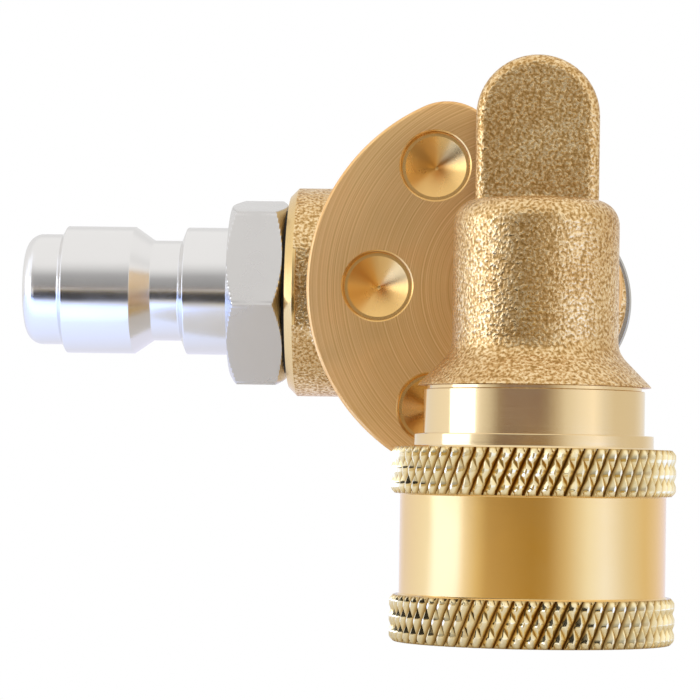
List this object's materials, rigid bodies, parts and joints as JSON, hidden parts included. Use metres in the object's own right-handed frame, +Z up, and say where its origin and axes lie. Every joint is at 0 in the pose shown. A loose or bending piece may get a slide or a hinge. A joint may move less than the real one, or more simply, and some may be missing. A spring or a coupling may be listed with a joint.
{
  "type": "swivel coupler",
  "caption": "Right-angle swivel coupler: quick-connect socket with a knurled sleeve and a quick-connect plug, turned on a hollow stem and locked by a pin in an index plate's dimples.",
  "frame": {"origin": "centre of the quick-connect socket's mouth, in the plane of its foot", "axes": "+Z up along the socket's axis, -X along the plug in the stored pose, +Y along the pivot axis towards the release cap"},
  "size_m": [0.0593, 0.0549, 0.0501],
  "materials": {
    "cast_brass": "forged skin, fine pebbled surface",
    "machined_brass": "turned and polished, diamond knurl",
    "plated_steel": "turned, bright nickel plate",
    "stainless": "turned stainless steel",
    "spring_steel": "drawn spring steel",
    "seal_rubber": "black moulded rubber"
  },
  "bodies": {
    "socket_half": {"socket_housing": "cast_brass", "pivot_stem": "stainless", "stem_static_seal": "seal_rubber", "stem_front_seal": "seal_rubber", "stem_rear_seal": "seal_rubber", "detent_pin": "stainless", "release_cap": "stainless", "cap_circlip": "spring_steel", "release_spring": "spring_steel", "socket_seal": "seal_rubber", "sleeve_stop_ring": "spring_steel", "sleeve_spring": "spring_steel"},
    "sleeve": {"lock_sleeve": "machined_brass"},
    "washer": {"thrust_washer": "stainless"},
    "plug_half": {"index_body": "cast_brass", "quick_plug": "plated_steel", "plug_face_seal": "seal_rubber"},
    "ball_1": {"lock_ball_1": "stainless"},
    "ball_2": {"lock_ball_2": "stainless"},
    "ball_3": {"lock_ball_3": "stainless"},
    "ball_4": {"lock_ball_4": "stainless"},
    "ball_5": {"lock_ball_5": "stainless"},
    "ball_6": {"lock_ball_6": "stainless"}
  },
  "joints": [
    {"name": "release", "type": "slide", "parent": "socket_half", "child": "washer", "axis": [0, -1, 0], "range_m": [0, 0.0012], "stiffness_N_per_m": 3000, "springref_m": 0.003, "deforming": ["release_spring"]},
    {"name": "swivel", "type": "hinge", "parent": "washer", "child": "plug_half", "pos_m": [0, 0, 0.03076], "axis": [0, 1, 0], "range_deg": [0, 180]},
    {"name": "sleeve_slide", "type": "slide", "parent": "socket_half", "child": "sleeve", "axis": [0, 0, 1], "range_m": [0, 0.0039], "stiffness_N_per_m": 2500, "springref_m": -0.003, "deforming": ["sleeve_spring"]},
    {"name": "ball_1_slide", "type": "slide", "parent": "socket_half", "child": "ball_1", "axis": [0.866, 0.5, 0], "range_m": [0, 0.00126]},
    {"name": "ball_2_slide", "type": "slide", "parent": "socket_half", "child": "ball_2", "axis": [0, 1, 0], "range_m": [0, 0.00126]},
    {"name": "ball_3_slide", "type": "slide", "parent": "socket_half", "child": "ball_3", "axis": [-0.866, 0.5, 0], "range_m": [0, 0.00126]},
    {"name": "ball_4_slide", "type": "slide", "parent": "socket_half", "child": "ball_4", "axis": [-0.866, -0.5, 0], "range_m": [0, 0.00126]},
    {"name": "ball_5_slide", "type": "slide", "parent": "socket_half", "child": "ball_5", "axis": [0, -1, 0], "range_m": [0, 0.00126]},
    {"name": "ball_6_slide", "type": "slide", "parent": "socket_half", "child": "ball_6", "axis": [0.866, -0.5, 0], "range_m": [0, 0.00126]}
  ],
  "couplings": [
    {"joint": "ball_1_slide", "follows": "sleeve_slide", "ratio": 0.32051},
    {"joint": "ball_2_slide", "follows": "sleeve_slide", "ratio": 0.32051},
    {"joint": "ball_3_slide", "follows": "sleeve_slide", "ratio": 0.32051},
    {"joint": "ball_4_slide", "follows": "sleeve_slide", "ratio": 0.32051},
    {"joint": "ball_5_slide", "follows": "sleeve_slide", "ratio": 0.32051},
    {"joint": "ball_6_slide", "follows": "sleeve_slide", "ratio": 0.32051}
  ]
}
